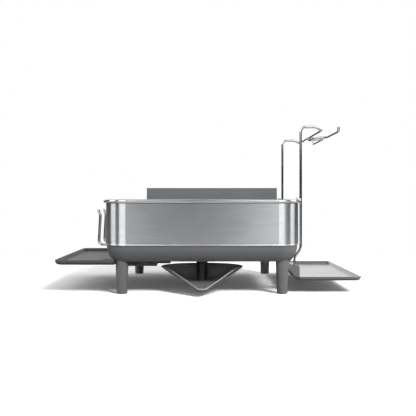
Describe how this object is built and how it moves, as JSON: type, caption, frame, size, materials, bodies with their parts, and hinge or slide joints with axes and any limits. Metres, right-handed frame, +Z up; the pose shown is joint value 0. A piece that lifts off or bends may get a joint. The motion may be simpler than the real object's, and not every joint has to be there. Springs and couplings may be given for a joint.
{
  "type": "dish drying rack",
  "caption": "Counter-top dish drying rack: steel frame on a drip base with legs, swivel drain spout, lift-out wire rack, utensil caddy, cup hooks, wine glass holder and side drip trays.",
  "frame": {"origin": "on the counter, under the middle of the whole object's box", "axes": "+X to the glass tray side, +Y away from the spout's lip, +Z up"},
  "size_m": [0.55, 0.512, 0.3029],
  "materials": {
    "brushed_steel": "brushed stainless steel sheet",
    "chrome_wire": "polished chrome-plated wire",
    "dark_plastic": "satin moulded plastic, charcoal",
    "grey_plastic": "satin moulded plastic, grey",
    "rubber": "soft rubber",
    "screw_steel": "plated screw",
    "black_screw": "black-oxide screw"
  },
  "bodies": {
    "base": {"drip_base": "dark_plastic", "leg_front_left": "dark_plastic", "leg_front_right": "dark_plastic", "leg_rear_left": "dark_plastic", "leg_rear_right": "dark_plastic", "foot_pads": "rubber", "drain_pipe": "dark_plastic", "spout_clip": "dark_plastic", "steel_frame": "brushed_steel", "band_screws": "screw_steel", "tray_rail_front": "dark_plastic", "tray_rail_rear": "dark_plastic", "rail_screws": "black_screw", "cup_hook_1": "chrome_wire", "cup_hook_2": "chrome_wire", "cup_hook_3": "chrome_wire", "cup_hook_4": "chrome_wire", "cup_hook_rail": "chrome_wire"},
    "spout": {"spout_bowl": "grey_plastic"},
    "cup_side": {"cup_tray": "dark_plastic"},
    "dish_rack": {"rack_outline": "chrome_wire", "rack_cross_wires": "chrome_wire", "rack_long_wires": "chrome_wire", "plate_tines_outer": "chrome_wire", "plate_tines_inner": "chrome_wire", "rack_feet": "rubber"},
    "glass_holder": {"holder_loop": "chrome_wire", "glass_rail": "chrome_wire", "rim_hook_front": "chrome_wire", "rim_hook_rear": "chrome_wire"},
    "glass_side": {"glass_tray": "grey_plastic"},
    "caddy": {"caddy_box": "grey_plastic", "caddy_divider_left": "grey_plastic", "caddy_divider_right": "grey_plastic"}
  },
  "joints": [
    {"name": "spout_swivel", "type": "hinge", "parent": "base", "child": "spout", "pos_m": [-0.012, -0.1285, 0.03], "axis": [0, 0, 1], "range_deg": [-90, 90]},
    {"name": "cup_tray_slide", "type": "slide", "parent": "base", "child": "cup_side", "axis": [-1, 0, 0], "range_m": [0, 0.13]},
    {"name": "dish_rack_lift", "type": "slide", "parent": "base", "child": "dish_rack", "axis": [0, 0, 1], "range_m": [0, 0.12]},
    {"name": "glass_holder_unhook", "type": "slide", "parent": "base", "child": "glass_holder", "axis": [0.5736, 0, 0.8192], "range_m": [0, 0.06]},
    {"name": "glass_tray_unplug", "type": "slide", "parent": "glass_holder", "child": "glass_side", "axis": [0, 0, -1], "range_m": [0, 0.012]},
    {"name": "caddy_lift", "type": "slide", "parent": "base", "child": "caddy", "axis": [0, 0, 1], "range_m": [0, 0.11]}
  ]
}
